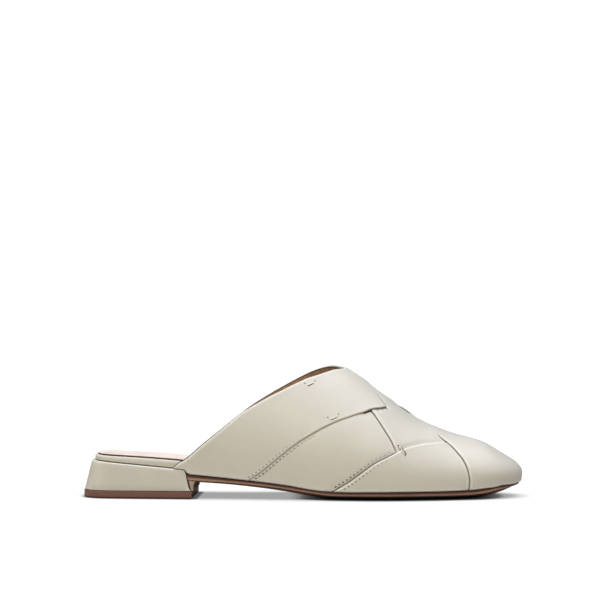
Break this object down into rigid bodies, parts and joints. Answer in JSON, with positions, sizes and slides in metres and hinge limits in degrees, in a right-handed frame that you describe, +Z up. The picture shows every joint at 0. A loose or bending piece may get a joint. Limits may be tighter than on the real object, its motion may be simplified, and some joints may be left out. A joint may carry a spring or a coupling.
{
  "type": "mule shoe",
  "caption": "Women's backless closed-toe mule: upper of broad crossing leather bands, thin leather sole, low covered block heel.",
  "frame": {"origin": "on the floor, under the middle of the shoe's bounding box", "axes": "+X towards the toe, +Z up, +Y towards the inner (medial) side of the right foot"},
  "size_m": [0.2578, 0.0808, 0.0769],
  "materials": {
    "upper_leather": "smooth cream calf leather, soft sheen",
    "edge_leather": "cream leather wrapped round the insole's edge",
    "sock_leather": "natural tan lining leather, matt",
    "sole_leather": "reddish brown sole with a burnished edge",
    "heel_leather": "cream leather wrapped round the heel block",
    "lift": "reddish brown, smooth, satin"
  },
  "bodies": {
    "root": {"upper": "upper_leather", "insole_board": "edge_leather", "sock": "sock_leather", "outsole": "sole_leather", "heel_block": "heel_leather", "top_lift": "lift"}
  },
  "joints": []
}
